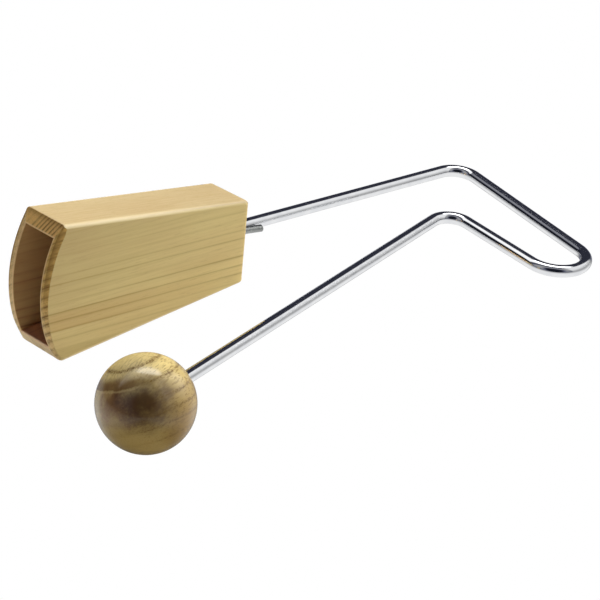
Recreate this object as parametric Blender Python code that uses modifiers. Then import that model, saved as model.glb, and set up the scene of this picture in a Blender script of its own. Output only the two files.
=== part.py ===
# A vibraslap: a bent spring-steel rod carries a wooden striking ball, and a tapered wooden box on the rod's
# other end holds a steel plate with loose rivets that rattle against the box's broad walls.
# Metres, +Z up. X runs along the box from its mouth to the handle, and the ball is on the -Y side.
# The object lies on the box's bottom wall, the ball and the handle's rounded end.

import math

import bmesh
import bpy
from mathutils import Matrix, Vector

# Gap left between two pieces that touch, and how far a cutter passes the piece that it cuts
FIT_GAP = 0.0003
CUT_PASS = 0.010

# Sound box, in its own frame: X along its axis with 0 at the narrow end, Z across its height.
# Its length runs to the bulge of the mouth, whose arc is centred a little above the axis.
# Either narrow wall slopes by the taper
BOX_LENGTH = 0.1391
BOX_WIDTH = 0.0311
NARROW_HEIGHT = 0.0490
TAPER = math.radians(6.49)
MOUTH_RADIUS = 0.0715
MOUTH_LIFT = 0.0012
BROAD_WALL = 0.0043
TOP_WALL = 0.0080
BOTTOM_WALL = 0.0100
EDGE_RADIUS = 0.0021

# End block, which closes the narrow end and holds both rods
BLOCK_LENGTH = 0.036
ROD_SEAT = 0.030
ROD_BEHIND_AXIS = 0.0041
ROD_BELOW_AXIS = 0.0010
WOOD_BETWEEN_HOLES = 0.0014

# Spring rod: lengths run between the virtual corners of its bends, angles are turns seen from above
ROD_DIAMETER = 0.007
KINK_REACH = 0.0219
KINK_BEND_RADIUS = 0.0120
BOX_ARM = 0.1566
BOX_ARM_HEADING = math.radians(-5.27)
FAR_CORNER_TURN = math.radians(94.54)
FAR_BEND_RADIUS = 0.0137
UPPER_RUN = 0.1122
HANDLE_END_RADIUS = 0.01755
HANDLE_END_TURN = math.radians(174.56)
LOWER_RUN = 0.0701
NEAR_CORNER_TURN = math.radians(106.69)
NEAR_BEND_RADIUS = 0.0120
BALL_ARM = 0.2842

# Striking ball
BALL_DIAMETER = 0.050
BALL_SEAT = 0.030

# Rattle stem: a thin rod through the end block, flattened to a tab inside the box
STEM_DIAMETER = 0.0042
STEM_STRAIGHT_OUTSIDE = 0.009
STEM_BENT_LENGTH = 0.0143
STEM_DROOP = math.radians(6.6)
STEM_BEND_RADIUS = 0.0120
STEM_BEFORE_TAB = 0.004
STEM_IN_TAB = 0.005
TAB_BEYOND_STEM = 0.0145
TAB_HEIGHT = 0.009
TAB_THICKNESS = 0.0018
TAB_INSET = 0.0002
TAB_CORNER = 0.0025

# Rattle plate and the two rivets that fix it to the tab
PLATE_THICKNESS = 0.0015
PLATE_NECK_HEIGHT = 0.012
PLATE_MARGIN = 0.0055
PLATE_CORNER = 0.003
FIXED_RIVETS = 2
FIXED_RIVET_FROM_STEM = 0.0045
FIXED_RIVET_PITCH = 0.006
FIXED_SHANK_DIAMETER = 0.0024
FIXED_HEAD_DIAMETER = 0.0050
FIXED_HEAD_HEIGHT = 0.0013
FIXED_TAIL_DIAMETER = 0.0044
FIXED_TAIL_HEIGHT = 0.0010

# Loose rivets: columns run along the plate, rows across it, and the play is the way to either broad wall
RIVET_COLUMNS = 5
RIVET_ROWS = 2
RIVET_PITCH = 0.009
RIVET_ROW_SPACING = 0.015
RIVETS_PAST_FIXED = 0.0115
RIVET_PLAY = 0.0031
RIVET_SHANK_DIAMETER = 0.0024
RIVET_HOLE_CLEARANCE = 0.0006
RIVET_HEAD_DIAMETER = 0.006
RIVET_HEAD_HEIGHT = 0.0016
RIVET_TAIL_DIAMETER = 0.0044
RIVET_TAIL_HEIGHT = 0.0014

# Facets: sides of round pieces and points along arcs
ROD_SMOOTHNESS = 6
HOLE_SIDES = 24
BALL_STEPS = 44
RIVET_STEPS = 16
ARC_STEP = math.radians(8)

# Colour (linear), roughness and metallic value of each kind of surface
FINISHES = {
    "box_wood": ((0.54, 0.41, 0.19), 0.35, 0.0),
    "block_wood": ((0.40, 0.29, 0.14), 0.60, 0.0),
    "ball_wood": ((0.42, 0.30, 0.13), 0.22, 0.0),
    "chrome": ((0.80, 0.81, 0.83), 0.07, 1.0),
    "steel": ((0.52, 0.52, 0.53), 0.32, 1.0),
}

# Sizes that follow from the ones above
rod_radius = ROD_DIAMETER / 2
ball_radius = BALL_DIAMETER / 2
stem_radius = STEM_DIAMETER / 2
inner_width = BOX_WIDTH - 2 * BROAD_WALL
stem_y = ROD_BEHIND_AXIS - rod_radius - WOOD_BETWEEN_HOLES - stem_radius
tab_y = stem_y + stem_radius - TAB_INSET - TAB_THICKNESS / 2
plate_y = tab_y + TAB_THICKNESS / 2 + FIT_GAP + PLATE_THICKNESS / 2
tab_start = -BLOCK_LENGTH - STEM_BEFORE_TAB
stem_end = tab_start - STEM_IN_TAB
tab_end = stem_end - TAB_BEYOND_STEM
fixed_xs = [stem_end - FIXED_RIVET_FROM_STEM - FIXED_RIVET_PITCH * i for i in range(FIXED_RIVETS)]
loose_xs = [fixed_xs[-1] - RIVETS_PAST_FIXED - RIVET_PITCH * i for i in range(RIVET_COLUMNS)]
loose_zs = [RIVET_ROW_SPACING * (i - (RIVET_ROWS - 1) / 2) for i in range(RIVET_ROWS)]

for old in list(bpy.data.objects):
    bpy.data.objects.remove(old, do_unlink=True)
parts = bpy.data.collections.new("vibraslap")
cutters = bpy.data.collections.new("cutters")
cutters.hide_render = True
bpy.context.scene.collection.children.link(parts)
bpy.context.scene.collection.children.link(cutters)


def empty(name, parent=None):
    holder = bpy.data.objects.new(name, None)
    holder.empty_display_size = 0.02
    holder.parent = parent
    parts.objects.link(holder)
    return holder


def part(name, data, finish, parent):
    # A named piece with a material of its own
    colour, roughness, metallic = FINISHES[finish]
    surface = bpy.data.materials.new(f"{name}_{finish}")
    surface.use_nodes = True
    shader = surface.node_tree.nodes["Principled BSDF"]
    shader.inputs["Base Color"].default_value = (*colour, 1.0)
    shader.inputs["Roughness"].default_value = roughness
    shader.inputs["Metallic"].default_value = metallic
    piece = bpy.data.objects.new(name, data)
    piece.data.materials.clear()
    piece.data.materials.append(surface)
    piece.parent = parent
    parts.objects.link(piece)
    return piece


def cutter(name, data, parent):
    tool = bpy.data.objects.new(name, data)
    tool.parent = parent
    tool.hide_render = True
    tool.display_type = "WIRE"
    cutters.objects.link(tool)
    return tool


def boolean(piece, tool, operation):
    step = piece.modifiers.new(tool.name, "BOOLEAN")
    step.operation = operation
    step.solver = "EXACT"
    step.object = tool


def mesh_from(points, faces, name):
    # A closed mesh with its faces turned outwards
    mesh = bpy.data.meshes.new(name)
    mesh.from_pydata(points, [], faces)
    grid = bmesh.new()
    grid.from_mesh(mesh)
    bmesh.ops.recalc_face_normals(grid, faces=grid.faces)
    grid.to_mesh(mesh)
    grid.free()
    return mesh


def prism(name, outline, thickness):
    # A flat outline of (x, z) points, with its thickness across Y
    count = len(outline)
    points = [(x, side * thickness / 2, z) for side in (-1, 1) for x, z in outline]
    faces = [list(range(count)), list(range(count, 2 * count))]
    for i in range(count):
        j = (i + 1) % count
        faces.append([i, j, count + j, count + i])
    return mesh_from(points, faces, name)


def curve_mesh(curve, name, matrix=None):
    # The solid of a curve as a mesh, its caps joined to its sides
    holder = bpy.data.objects.new(name, curve)
    mesh = bpy.data.meshes.new_from_object(holder)
    bpy.data.objects.remove(holder)
    grid = bmesh.new()
    grid.from_mesh(mesh)
    bmesh.ops.remove_doubles(grid, verts=grid.verts, dist=1e-6)
    bmesh.ops.recalc_face_normals(grid, faces=grid.faces)
    if matrix:
        bmesh.ops.transform(grid, matrix=matrix, verts=grid.verts)
    grid.to_mesh(mesh)
    grid.free()
    return mesh


def add_loop(curve, points, closed):
    spline = curve.splines.new("POLY")
    spline.points.add(len(points) - 1)
    for target, point in zip(spline.points, points):
        target.co = (*Vector(point).to_3d(), 1.0)
    spline.use_cyclic_u = closed


def sheet(name, outline, holes, thickness):
    # A flat sheet in X and Z with round holes: (x, z, radius)
    curve = bpy.data.curves.new(name, "CURVE")
    curve.dimensions = "2D"
    curve.fill_mode = "BOTH"
    curve.extrude = thickness / 2
    add_loop(curve, outline, True)
    for x, z, radius in holes:
        turns = [math.tau * i / HOLE_SIDES for i in range(HOLE_SIDES)]
        add_loop(curve, [(x + radius * math.cos(t), z + radius * math.sin(t)) for t in turns], True)
    return curve_mesh(curve, name, Matrix.Rotation(math.pi / 2, 4, "X"))


def tube(name, points, radius):
    curve = bpy.data.curves.new(name, "CURVE")
    curve.dimensions = "3D"
    curve.bevel_depth = radius
    curve.bevel_resolution = ROD_SMOOTHNESS
    curve.use_fill_caps = True
    add_loop(curve, points, False)
    return curve


def bore(name, radius, start, end, parent):
    # A round cutter along X, from start to end
    grid = bmesh.new()
    place = Matrix.Translation(((start + end) / 2, 0, 0)) @ Matrix.Rotation(math.pi / 2, 4, "Y")
    bmesh.ops.create_cone(
        grid, cap_ends=True, segments=HOLE_SIDES, radius1=radius, radius2=radius,
        depth=abs(end - start), matrix=place,
    )
    mesh = bpy.data.meshes.new(name)
    grid.to_mesh(mesh)
    grid.free()
    return cutter(name, mesh, parent)


def turned(name, profile, steps, finish, parent):
    # A profile of (radius, height) points, its outer side from top to bottom, turned about Z
    mesh = bpy.data.meshes.new(name)
    edges = [(i, i + 1) for i in range(len(profile) - 1)]
    mesh.from_pydata([(r, 0, z) for r, z in profile], edges, [])
    piece = part(name, mesh, finish, parent)
    screw = piece.modifiers.new("turn", "SCREW")
    screw.axis = "Z"
    screw.steps = steps
    screw.render_steps = steps
    screw.use_merge_vertices = True
    screw.merge_threshold = 1e-5
    return piece


def arc(before, corner, after, radius):
    # Points of the arc that rounds a corner between two straight runs
    heading = (corner - before).normalized()
    leaving = (after - corner).normalized()
    turn = heading.angle(leaving)
    side = (leaving - heading * heading.dot(leaving)).normalized()
    start = corner - heading * radius * math.tan(turn / 2)
    steps = max(3, math.ceil(turn / ARC_STEP))
    swings = [turn * i / steps for i in range(steps + 1)]
    return [start + heading * radius * math.sin(t) + side * radius * (1 - math.cos(t)) for t in swings]


def bent(corners, radii):
    # A path with straight runs between its corners, and an arc of the given radius at each inner corner
    path = [corners[0]]
    for i, radius in enumerate(radii):
        for point in arc(*corners[i:i + 3], radius):
            if (point - path[-1]).length > 1e-6:
                path.append(point)
    path.append(corners[-1])
    return path


def rounded(outline, radius):
    # A closed outline of (x, z) corners, each rounded to the radius
    corners = [Vector(corner) for corner in outline]
    loop = [corners[-1], *corners, corners[0]]
    return [tuple(point) for i in range(len(corners)) for point in arc(*loop[i:i + 3], radius)]


def half_height(x):
    # Outside half-height of the box at x on its axis
    return NARROW_HEIGHT / 2 - x * math.tan(TAPER)


def cavity_outline(start, end, gap=0.0):
    # Outline of the cavity between two places on the axis, drawn in by a gap at its top and bottom
    outline = []
    for x in (start, end):
        outline.append((x, half_height(x) - (TOP_WALL + gap) / math.cos(TAPER)))
    for x in (end, start):
        outline.append((x, (BOTTOM_WALL + gap) / math.cos(TAPER) - half_height(x)))
    return outline


# Sound box frame: tilted by the taper so that the bottom wall lies flat on the floor
root = empty("vibraslap_root")
sound_box = empty("sound_box", root)
sound_box.rotation_euler = (0, TAPER, 0)
sound_box.location = (math.sin(TAPER) * NARROW_HEIGHT / 2, 0, math.cos(TAPER) * NARROW_HEIGHT / 2)
box_to_floor = Matrix.LocRotScale(sound_box.location, sound_box.rotation_euler, None)

# Box shell before it is split: a tapered outline with a bulging mouth, all its edges rounded but those across
# the mouth
mouth_centre = Vector((MOUTH_RADIUS - BOX_LENGTH, MOUTH_LIFT))
mouth_swings = []
for side in (1, -1):
    slope = Vector((-math.cos(TAPER), side * math.sin(TAPER)))
    away = Vector((0, side * NARROW_HEIGHT / 2)) - mouth_centre
    reach = math.sqrt(slope.dot(away)**2 - away.dot(away) + MOUTH_RADIUS**2) - slope.dot(away)
    corner = away + slope * reach
    mouth_swings.append(math.atan2(corner.y, -corner.x))
mouth_steps = math.ceil((mouth_swings[0] - mouth_swings[1]) / math.radians(4))
shell_outline = [(0.0, -NARROW_HEIGHT / 2), (0.0, NARROW_HEIGHT / 2)]
for i in range(mouth_steps + 1):
    swing = mouth_swings[0] + (mouth_swings[1] - mouth_swings[0]) * i / mouth_steps
    shell_outline.append(tuple(mouth_centre + MOUTH_RADIUS * Vector((-math.cos(swing), math.sin(swing)))))
shell_mesh = prism("box_shell", shell_outline, BOX_WIDTH)
weights = shell_mesh.attributes.new("bevel_weight_edge", "FLOAT", "EDGE")
for edge in shell_mesh.edges:
    first, second = (shell_mesh.vertices[i].co for i in edge.vertices)
    crosswise = abs(first.y - second.y) > BOX_WIDTH / 2
    at_narrow_end = first.x == 0 and second.x == 0
    weights.data[edge.index].value = 0.0 if crosswise and not at_narrow_end else 1.0
cavity_mesh = prism("cavity", cavity_outline(CUT_PASS, -BOX_LENGTH - CUT_PASS), inner_width)
cavity = cutter("cavity", cavity_mesh, sound_box)


def mitre_wedge(name, turn, thickness, gap):
    # A wedge around the top or bottom wall, its two sides on the mitres and drawn in by a gap
    slope = BROAD_WALL / thickness
    tip = BOX_WIDTH / 2 / slope
    rise = tip + CUT_PASS
    corners = ((0, 0), (rise * slope, rise), (-rise * slope, rise))
    points = [(x, y, z) for x in (-2 * BOX_LENGTH, BOX_LENGTH) for y, z in corners]
    faces = [(0, 1, 2), (3, 4, 5), (0, 1, 4, 3), (1, 2, 5, 4), (2, 0, 3, 5)]
    wedge = cutter(name, mesh_from(points, faces, name), sound_box)
    depth = tip - gap / math.sin(math.atan(slope))
    wedge.location = (0, 0, turn * (NARROW_HEIGHT / 2 - depth / math.cos(TAPER)))
    wedge.rotation_euler = (0 if turn > 0 else math.pi, turn * TAPER, 0)
    return wedge


def wall(name):
    board = part(name, shell_mesh.copy(), "box_wood", sound_box)
    rounding = board.modifiers.new("rounded_edges", "BEVEL")
    rounding.limit_method = "WEIGHT"
    rounding.width = EDGE_RADIUS
    rounding.segments = 4
    boolean(board, cavity, "DIFFERENCE")
    return board


mitre_gap = FIT_GAP / 2
wide_wedges = []
for name, turn, thickness in (("top_wall", 1, TOP_WALL), ("bottom_wall", -1, BOTTOM_WALL)):
    boolean(wall(name), mitre_wedge(f"{name}_wedge", turn, thickness, mitre_gap), "INTERSECT")
    wide_wedges.append(mitre_wedge(f"{name}_clearance", turn, thickness, -mitre_gap))
half_box = (-BOX_LENGTH - CUT_PASS, CUT_PASS, half_height(-BOX_LENGTH - CUT_PASS))
half_outline = [(half_box[0], -half_box[2]), (half_box[0], half_box[2])]
half_outline += [(half_box[1], half_box[2]), (half_box[1], -half_box[2])]
for name, side in (("front_wall", -1), ("back_wall", 1)):
    half = cutter(f"{name}_half", prism(f"{name}_half", half_outline, BOX_WIDTH), sound_box)
    half.location.y = side * BOX_WIDTH / 2
    board = wall(name)
    boolean(board, half, "INTERSECT")
    for wedge in wide_wedges:
        boolean(board, wedge, "DIFFERENCE")

# End block, with a blind hole for the spring rod and a through hole for the rattle stem
block_mesh = prism("end_block", cavity_outline(0.0, -BLOCK_LENGTH, FIT_GAP), inner_width - 2 * FIT_GAP)
end_block = part("end_block", block_mesh, "block_wood", sound_box)
rod_hole = bore("rod_hole", rod_radius + FIT_GAP, -ROD_SEAT - FIT_GAP, CUT_PASS, sound_box)
rod_hole.location = (0, ROD_BEHIND_AXIS, -ROD_BELOW_AXIS)
stem_hole = bore("stem_hole", stem_radius + FIT_GAP, -BLOCK_LENGTH - CUT_PASS, CUT_PASS, sound_box)
stem_hole.location = (0, stem_y, 0)
boolean(end_block, rod_hole, "DIFFERENCE")
boolean(end_block, stem_hole, "DIFFERENCE")

# Spring rod, first flat: X along the box arm from the kink, Y to its left
end_lead = HANDLE_END_RADIUS * math.tan(HANDLE_END_TURN / 4)
legs = (
    (0.0, BOX_ARM),
    (-FAR_CORNER_TURN, UPPER_RUN + end_lead),
    (-HANDLE_END_TURN / 2, 2 * end_lead),
    (-HANDLE_END_TURN / 2, LOWER_RUN + end_lead),
    (NEAR_CORNER_TURN, BALL_ARM),
)
flat_corners = [Vector((0, 0, 0))]
heading = 0.0
for turn, length in legs:
    heading += turn
    flat_corners.append(flat_corners[-1] + Vector((math.cos(heading), math.sin(heading), 0)) * length)
bend_radii = (FAR_BEND_RADIUS, HANDLE_END_RADIUS, HANDLE_END_RADIUS, NEAR_BEND_RADIUS)
flat_path = bent(flat_corners, bend_radii)

# Its plane then tilts about the kink until the ball and the handle's rounded end both touch the floor
kink = box_to_floor @ Vector((KINK_REACH, ROD_BEHIND_AXIS, -ROD_BELOW_AXIS))
ball_flat = flat_corners[-1]
lowest = flat_path[len(flat_path) // 2]
for _ in range(8):
    pair = Matrix(((ball_flat.x, ball_flat.y), (lowest.x, lowest.y)))
    slopes = pair.inverted() @ Vector((ball_radius - kink.z, rod_radius - kink.z))
    lowest = min(flat_path, key=lambda point: slopes.x * point.x + slopes.y * point.y)
run = math.sqrt(1 - slopes.x**2)
along = Vector((run * math.cos(BOX_ARM_HEADING), run * math.sin(BOX_ARM_HEADING), slopes.x))
level = Vector((-math.sin(BOX_ARM_HEADING), math.cos(BOX_ARM_HEADING), 0))
lean = slopes.y / run
across = level * math.sqrt(1 - lean**2) + along.cross(level) * lean
rod_corners = [kink + along * point.x + across * point.y for point in flat_corners]
ball_centre = rod_corners[-1]
ball_arm = (rod_corners[-2] - ball_centre).normalized()
rod_start = box_to_floor @ Vector((-ROD_SEAT, ROD_BEHIND_AXIS, -ROD_BELOW_AXIS))
rod_end = ball_centre + ball_arm * (ball_radius - BALL_SEAT)
rod_path = bent([rod_start, *rod_corners[:-1], rod_end], (KINK_BEND_RADIUS, *bend_radii))
part("spring_rod", tube("spring_rod", rod_path, rod_radius), "chrome", root)

# Striking ball, turned about the line of the rod that sits in its blind hole
seat_radius = rod_radius + FIT_GAP
seat_floor = ball_radius - BALL_SEAT - FIT_GAP
rim = math.asin(seat_radius / ball_radius)
ball_rings = BALL_STEPS // 2
ball_profile = [(0, seat_floor), (seat_radius, seat_floor)]
for i in range(ball_rings + 1):
    angle = rim + (math.pi - rim) * i / ball_rings
    ball_profile.append((ball_radius * math.sin(angle), ball_radius * math.cos(angle)))
ball_profile[-1] = (0, -ball_radius)
ball = turned("striking_ball", ball_profile, BALL_STEPS, "ball_wood", root)
ball.location = ball_centre
ball.rotation_euler = ball_arm.to_track_quat("Z", "Y").to_euler()

# Rattle stem: straight through the block, drooping outside it, joined to its flat tab inside the box
bend_point = Vector((STEM_STRAIGHT_OUTSIDE, stem_y, 0))
droop = Vector((math.cos(STEM_DROOP), 0, -math.sin(STEM_DROOP))) * STEM_BENT_LENGTH
stem_corners = [Vector((stem_end, stem_y, 0)), bend_point, bend_point + droop]
stem_path = bent(stem_corners, [STEM_BEND_RADIUS])
stem_mesh = curve_mesh(tube("rattle_stem", stem_path, stem_radius), "rattle_stem")
stem = part("rattle_stem", stem_mesh, "steel", sound_box)
tab_corners = ((tab_start, -1), (tab_start, 1), (tab_end, 1), (tab_end, -1))
tab_outline = rounded([(x, side * TAB_HEIGHT / 2) for x, side in tab_corners], TAB_CORNER)
fixed_hole = FIXED_SHANK_DIAMETER / 2 + FIT_GAP
tab_mesh = sheet("tab", tab_outline, [(x, 0, fixed_hole) for x in fixed_xs], TAB_THICKNESS)
tab = cutter("tab", tab_mesh, sound_box)
tab.location = (0, tab_y, 0)
boolean(stem, tab, "UNION")

# Rattle plate: a neck on the tab and a wide body with the loose rivets' holes
neck_start = stem_end - FIT_GAP
shoulder = loose_xs[0] + PLATE_MARGIN
plate_end = loose_xs[-1] - PLATE_MARGIN
body_half = loose_zs[-1] + PLATE_MARGIN
plate_side = [
    (neck_start, PLATE_NECK_HEIGHT / 2),
    (shoulder, PLATE_NECK_HEIGHT / 2),
    (shoulder, body_half),
    (plate_end, body_half),
]
plate_outline = plate_side + [(x, -z) for x, z in reversed(plate_side)]
loose_hole = RIVET_SHANK_DIAMETER / 2 + RIVET_HOLE_CLEARANCE
plate_holes = [(x, 0, fixed_hole) for x in fixed_xs]
plate_holes += [(x, z, loose_hole) for x in loose_xs for z in loose_zs]
plate_mesh = sheet("rattle_plate", rounded(plate_outline, PLATE_CORNER), plate_holes, PLATE_THICKNESS)
plate = part("rattle_plate", plate_mesh, "steel", sound_box)
plate.location = (0, plate_y, 0)


def rivet(name, length, shank, head, head_height, tail, tail_height):
    # A domed head, a straight shank and an upset tail, turned about Z with the middle of its length at 0
    top = length / 2
    dome = (head**2 / 4 + head_height**2) / (2 * head_height)
    swings = [2 * math.atan(2 * head_height / head) * i / 4 for i in range(5)]
    profile = [(dome * math.sin(t), top - dome * (1 - math.cos(t))) for t in swings]
    under_head = top - head_height
    over_tail = tail_height - top
    soft = tail_height / 3
    profile += [(shank / 2, under_head), (shank / 2, over_tail), (tail / 2, over_tail)]
    profile += [(tail / 2, soft - top), (tail / 2 - soft, -top), (0, -top)]
    piece = turned(name, profile, RIVET_STEPS, "steel", sound_box)
    piece.rotation_euler = (math.pi / 2, 0, 0)
    return piece


# Fixed rivets through the tab and the plate, heads towards the front
fixed_grip = TAB_THICKNESS + PLATE_THICKNESS + 3 * FIT_GAP
fixed_length = fixed_grip + FIXED_HEAD_HEIGHT + FIXED_TAIL_HEIGHT
fixed_front = tab_y - TAB_THICKNESS / 2 - FIT_GAP - FIXED_HEAD_HEIGHT
for i, x in enumerate(fixed_xs):
    pin = rivet(
        f"plate_rivet_{i + 1}", fixed_length, FIXED_SHANK_DIAMETER, FIXED_HEAD_DIAMETER,
        FIXED_HEAD_HEIGHT, FIXED_TAIL_DIAMETER, FIXED_TAIL_HEIGHT,
    )
    pin.location = (x, fixed_front + fixed_length / 2, 0)

# Loose rivets, each hanging in its hole midway between the broad walls
loose_length = inner_width - 2 * RIVET_PLAY
hang = RIVET_HOLE_CLEARANCE - FIT_GAP
loose_places = [(x, z) for x in loose_xs for z in loose_zs]
for i, (x, z) in enumerate(loose_places):
    pin = rivet(
        f"loose_rivet_{i + 1:02d}", loose_length, RIVET_SHANK_DIAMETER, RIVET_HEAD_DIAMETER,
        RIVET_HEAD_HEIGHT, RIVET_TAIL_DIAMETER, RIVET_TAIL_HEIGHT,
    )
    pin.location = (x, 0, z - hang)

# Origin: under the middle of the whole object, on the floor
bpy.context.view_layer.update()
graph = bpy.context.evaluated_depsgraph_get()
spots = []
for piece in parts.objects:
    if piece.type != "EMPTY":
        shape = piece.evaluated_get(graph)
        spots += [shape.matrix_world @ point.co for point in shape.to_mesh().vertices]
        shape.to_mesh_clear()
middle = [(min(spot[k] for spot in spots) + max(spot[k] for spot in spots)) / 2 for k in (0, 1)]
root.location = (-middle[0], -middle[1], -min(spot.z for spot in spots))
bpy.context.view_layer.update()
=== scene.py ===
import math
import bpy
import bmesh
import numpy as np
from mathutils import Matrix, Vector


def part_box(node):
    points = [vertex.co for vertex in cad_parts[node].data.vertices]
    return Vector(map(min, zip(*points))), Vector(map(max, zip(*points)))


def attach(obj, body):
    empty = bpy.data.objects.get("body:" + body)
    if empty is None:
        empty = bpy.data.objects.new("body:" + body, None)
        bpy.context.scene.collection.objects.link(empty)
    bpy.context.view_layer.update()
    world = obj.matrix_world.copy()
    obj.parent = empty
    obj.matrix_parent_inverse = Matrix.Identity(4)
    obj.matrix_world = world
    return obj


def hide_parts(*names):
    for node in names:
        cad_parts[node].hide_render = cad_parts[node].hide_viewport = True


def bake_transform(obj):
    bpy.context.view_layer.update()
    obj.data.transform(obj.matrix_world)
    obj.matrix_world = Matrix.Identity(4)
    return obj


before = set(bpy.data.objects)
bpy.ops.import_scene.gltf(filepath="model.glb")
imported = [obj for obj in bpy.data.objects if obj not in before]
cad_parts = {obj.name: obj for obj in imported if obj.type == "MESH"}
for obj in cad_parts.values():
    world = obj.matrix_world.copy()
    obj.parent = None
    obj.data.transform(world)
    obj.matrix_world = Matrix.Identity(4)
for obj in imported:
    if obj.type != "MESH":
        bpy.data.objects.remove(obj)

scene = bpy.context.scene
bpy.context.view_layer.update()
print("frame loaded:", len(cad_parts), "nodes")


# mesh helpers

def makePiece(name, points, faces, material, smooth=True):
    mesh = bpy.data.meshes.new(name)
    mesh.from_pydata(points.reshape(-1, 3).tolist(), [], faces)
    work = bmesh.new()
    work.from_mesh(mesh)
    bmesh.ops.recalc_face_normals(work, faces=work.faces)
    work.to_mesh(mesh)
    work.free()
    mesh.polygons.foreach_set("use_smooth", [smooth] * len(mesh.polygons))
    mesh.materials.append(material)
    piece = bpy.data.objects.new(name, mesh)
    scene.collection.objects.link(piece)
    return piece


def gridFaces(rows, columns, wrapRows=False, wrapColumns=False):
    # quads between neighbours of a rows x columns grid, closed round where asked
    i = np.arange(rows if wrapRows else rows - 1)[:, None]
    j = np.arange(columns if wrapColumns else columns - 1)[None, :]
    row, nextRow = i * columns, (i + 1) % rows * columns
    nextJ = (j + 1) % columns
    quads = np.broadcast_arrays(row + j, nextRow + j, nextRow + nextJ, row + nextJ)
    return np.stack(quads, -1).reshape(-1, 4).tolist()


def tubeFaces(rows, columns):
    # a grid closed round its columns, with a flat cap on its first row and on its last
    first = np.arange(columns)
    last = first + (rows - 1) * columns
    return gridFaces(rows, columns, wrapColumns=True) + [first.tolist(), last.tolist()]


def setAttribute(piece, name, values):
    layer = piece.data.attributes.new(name, "FLOAT", "POINT")
    layer.data.foreach_set("value", np.ascontiguousarray(values, np.float32).ravel())


# shader helpers

def newMaterial(name):
    material = bpy.data.materials.new(name)
    material.use_nodes = True
    tree = material.node_tree
    return material, tree, tree.nodes["Principled BSDF"]


def addNode(tree, kind, inputs=None, **settings):
    made = tree.nodes.new(kind)
    for key, value in settings.items():
        setattr(made, key, value)
    for key, value in (inputs or {}).items():
        if isinstance(value, bpy.types.NodeSocket):
            tree.links.new(value, made.inputs[key])
        else:
            made.inputs[key].default_value = value
    return made


def calc(tree, operation, a, b=0.0, clamp=False):
    return addNode(tree, "ShaderNodeMath", {0: a, 1: b}, operation=operation, use_clamp=clamp).outputs[0]


def chain(tree, operation, first, *others):
    # one operation over several values, from left to right
    for other in others:
        first = calc(tree, operation, first, other)
    return first


def times(tree, *values):
    return chain(tree, "MULTIPLY", *values)


def plus(tree, *values):
    return chain(tree, "ADD", *values)


def swing(tree, value, size):  # turns a noise about 0.5 into a shift to either side
    return times(tree, calc(tree, "SUBTRACT", value, 0.5), size)


def span(tree, value, low, high, toLow=0.0, toHigh=1.0):
    # eases from toLow to toHigh as the value goes from low to high
    inputs = {"Value": value, "From Min": low, "From Max": high, "To Min": toLow, "To Max": toHigh}
    return addNode(tree, "ShaderNodeMapRange", inputs, interpolation_type="SMOOTHSTEP").outputs[0]


def mix(tree, factor, a, b, blend="MIX"):
    a, b = ((*value, 1.0) if isinstance(value, tuple) else value for value in (a, b))
    made = addNode(tree, "ShaderNodeMix", {0: factor, 6: a, 7: b}, data_type="RGBA", blend_type=blend)
    return made.outputs[2]


def vectorMath(tree, operation, a, b=(0.0, 0.0, 0.0)):
    return addNode(tree, "ShaderNodeVectorMath", {0: a, 1: b}, operation=operation).outputs


def dotWith(tree, vector, direction):
    return vectorMath(tree, "DOT_PRODUCT", vector, direction)["Value"]


def noise(tree, vector, scale, detail, roughness=0.5):
    inputs = {"Vector": vector, "Scale": scale, "Detail": detail, "Roughness": roughness}
    return addNode(tree, "ShaderNodeTexNoise", inputs).outputs["Fac"]


def fibreNoise(tree, vector, scales, detail, roughness=0.5):  # drawn out along X, with a scale for each axis
    return noise(tree, vectorMath(tree, "MULTIPLY", vector, scales)[0], 1.0, detail, roughness)


def objectPlace(tree):
    return addNode(tree, "ShaderNodeTexCoord").outputs["Object"]


def turnedPlace(tree, origin, turn):  # the same, from another origin and turned
    inputs = {"Vector": objectPlace(tree), "Location": origin, "Rotation": turn}
    return addNode(tree, "ShaderNodeMapping", inputs, vector_type="TEXTURE").outputs[0]


def attribute(tree, name):
    return addNode(tree, "ShaderNodeAttribute", attribute_name=name).outputs["Fac"]


def ramp(tree, value, stops):
    made = addNode(tree, "ShaderNodeValToRGB", {"Fac": value})
    elements = made.color_ramp.elements
    while len(elements) < len(stops):
        elements.new(0.5)
    for element, (place, grey) in zip(elements, stops):
        element.position = place
        element.color = (grey, grey, grey, 1.0)
    return made.outputs["Color"]


def setBump(tree, shader, height, strength, distance):
    bump = addNode(tree, "ShaderNodeBump", {"Height": height, "Strength": strength, "Distance": distance})
    tree.links.new(bump.outputs[0], shader.inputs["Normal"])


def setVarnish(shader, look):
    shader.inputs["Specular IOR Level"].default_value = look["gloss"]
    shader.inputs["Coat Weight"].default_value = look["coat"]
    shader.inputs["Coat Roughness"].default_value = look["coatRoughness"]


# wood of the boards and the block

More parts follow.
